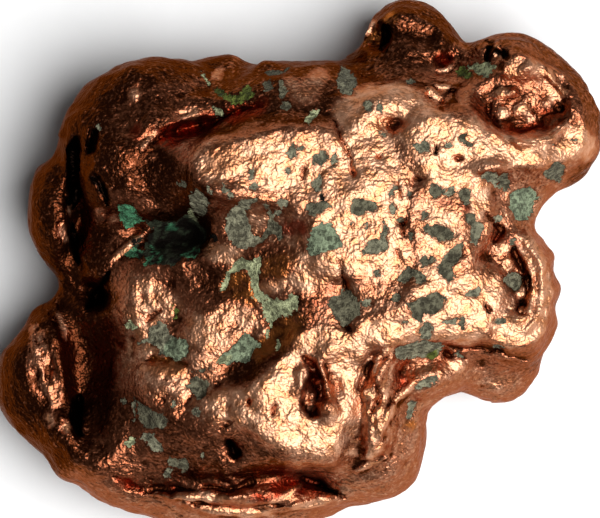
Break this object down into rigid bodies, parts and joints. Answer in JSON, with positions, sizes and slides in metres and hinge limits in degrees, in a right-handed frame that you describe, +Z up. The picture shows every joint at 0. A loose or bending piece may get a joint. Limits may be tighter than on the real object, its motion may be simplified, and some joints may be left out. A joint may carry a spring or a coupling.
{
  "type": "native copper nugget",
  "caption": "Rounded native copper nugget: a lobed, pitted metal body with folds, ledges and bowl-like hollows, specked with grey-green mineral, lying on its broad underside.",
  "frame": {"origin": "on the ground plane, under the middle of the nugget's length and width as it lies", "axes": "+X along its length, from the low tapering end towards the high lobed end; +Y across its width, towards the two lobes that stand out beyond the body; +Z up, away from the resting underside"},
  "size_m": [0.0406, 0.036, 0.0172],
  "materials": {
    "native_copper": "worn natural copper, bright on the high places and tarnished brown in the hollows, with specks of grey-green mineral"
  },
  "bodies": {
    "root": {"copper_nugget": "native_copper"}
  },
  "joints": []
}
